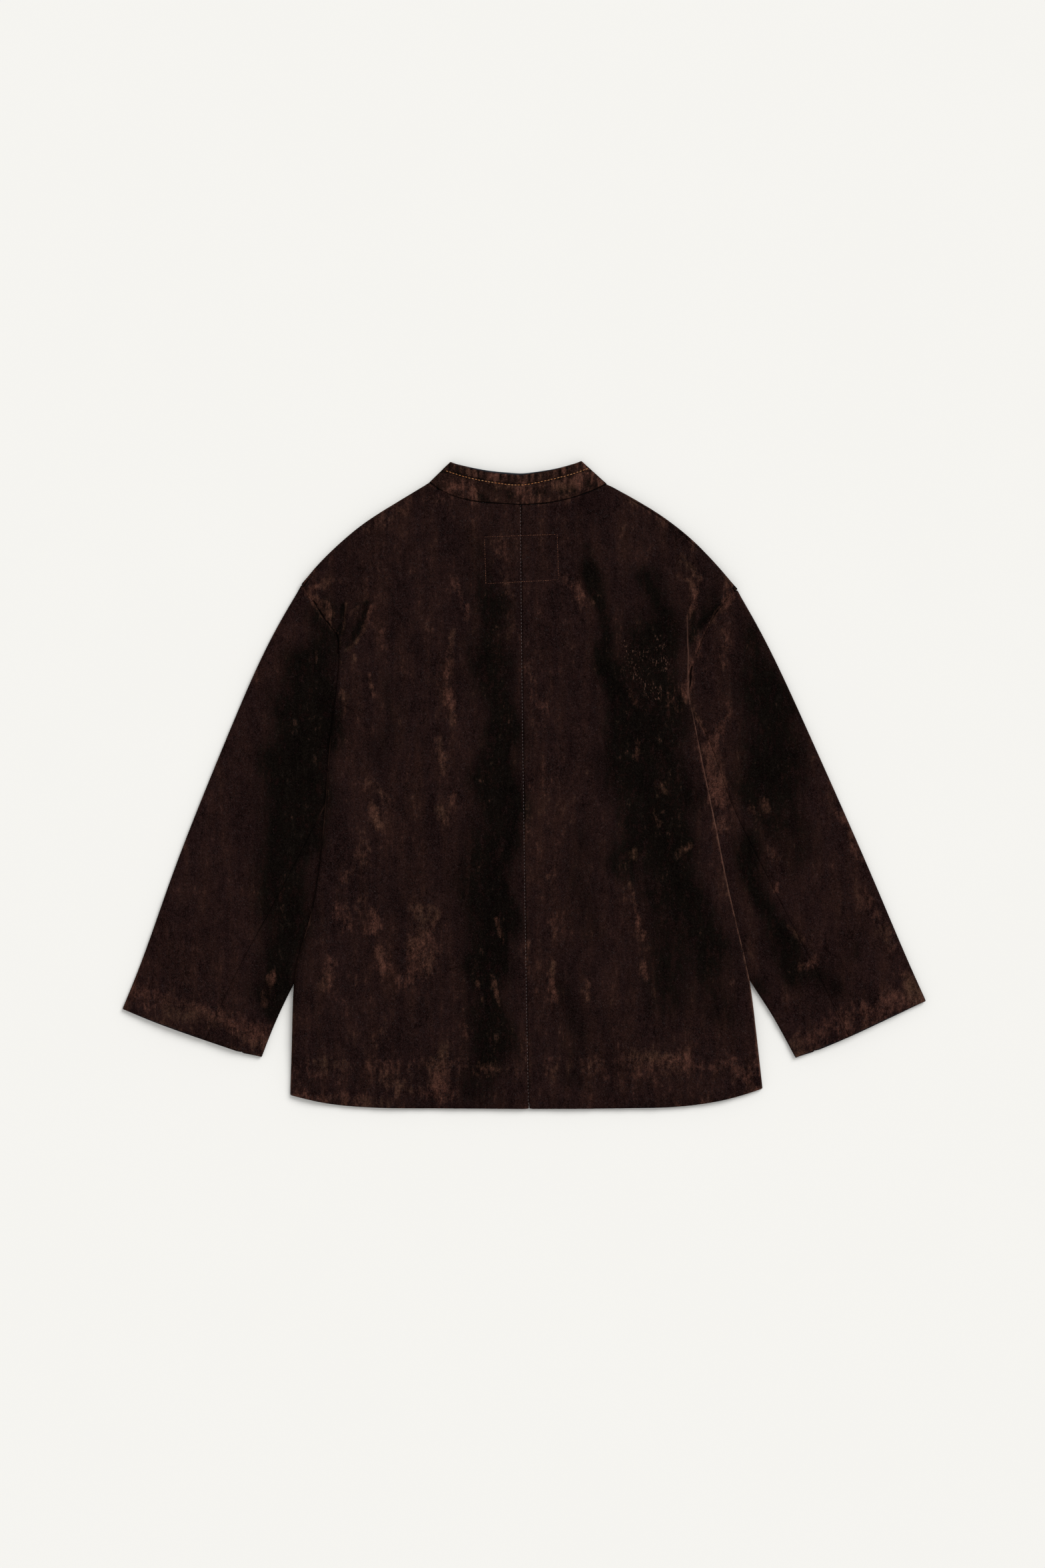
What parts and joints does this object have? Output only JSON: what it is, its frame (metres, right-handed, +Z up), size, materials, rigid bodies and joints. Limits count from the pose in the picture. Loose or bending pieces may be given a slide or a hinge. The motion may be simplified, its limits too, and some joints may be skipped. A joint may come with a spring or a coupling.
{
  "type": "velvet jacket with stand collar, laid flat",
  "caption": "Boxy velvet jacket with a stand collar and two-piece sleeves, laid flat on its front, seen from the back.",
  "frame": {"origin": "middle of the jacket's outline as it lies, on the surface that it lies on", "axes": "+Z up from the surface, +Y from the hem to the collar, +X to the right of the back as it is seen"},
  "size_m": [0.9038, 0.7281, 0.0124],
  "materials": {
    "velvet_back": "dark chocolate crushed velvet, worn to rust-brown in patches, soft sheen",
    "velvet_front": "dark chocolate crushed velvet, plain",
    "velvet_sleeve": "dark chocolate crushed velvet, darker along the folds",
    "velvet_collar": "dark chocolate crushed velvet, worn lighter along its edge",
    "collar_reverse": "blue-grey woven cotton",
    "thread_rust": "light rust sewing thread",
    "thread_pale": "pale grey sewing thread"
  },
  "bodies": {
    "root": {"back_left": "velvet_back", "back_right": "velvet_back", "front_left": "velvet_front", "front_right": "velvet_front", "sleeve_left_top": "velvet_sleeve", "sleeve_left_under": "velvet_sleeve", "sleeve_right_top": "velvet_sleeve", "sleeve_right_under": "velvet_sleeve", "collar": "velvet_collar", "collar_inner": "collar_reverse"}
  },
  "joints": []
}
